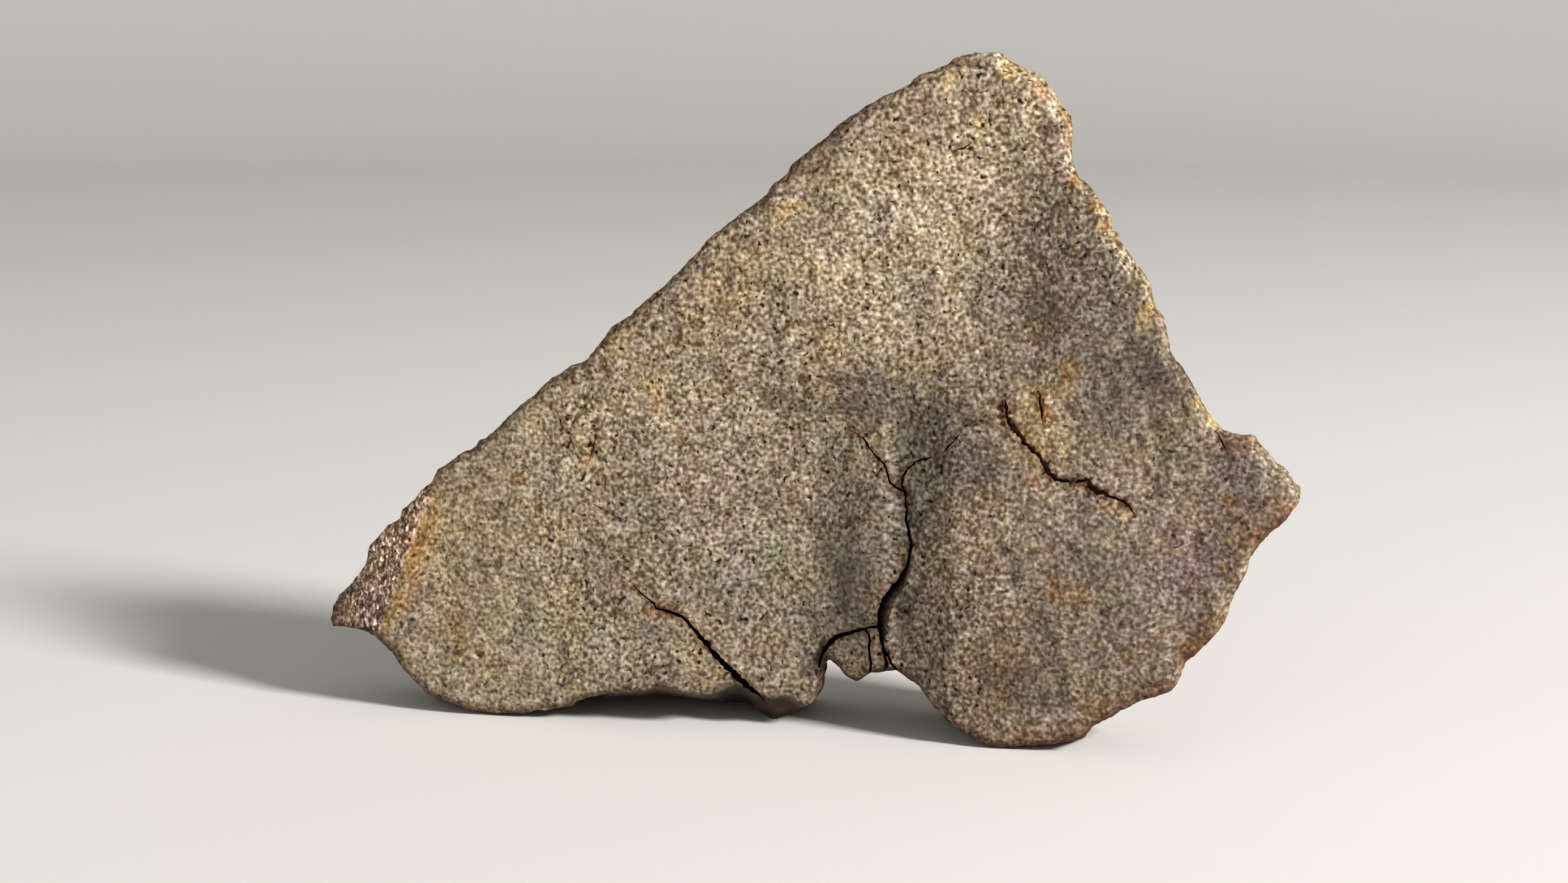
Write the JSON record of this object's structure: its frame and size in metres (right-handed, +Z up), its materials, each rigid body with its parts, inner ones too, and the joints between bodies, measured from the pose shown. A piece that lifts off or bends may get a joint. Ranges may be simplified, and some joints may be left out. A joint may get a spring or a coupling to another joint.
{
  "type": "winonaite meteorite fragment",
  "caption": "Slab-like broken piece of granular brown stone standing on its lower edge, with a pointed peak, a side horn, a low arch and open cracks.",
  "frame": {"origin": "middle of the bounding box on the surface the stone rests on", "axes": "+X along the width towards the horn, +Y from the broad face to the back, +Z up towards the peak"},
  "size_m": [0.0513, 0.0096, 0.0343],
  "materials": {
    "stone": "sugary, granular, matt, with rust-brown stains"
  },
  "bodies": {
    "root": {"meteorite": "stone"}
  },
  "joints": []
}
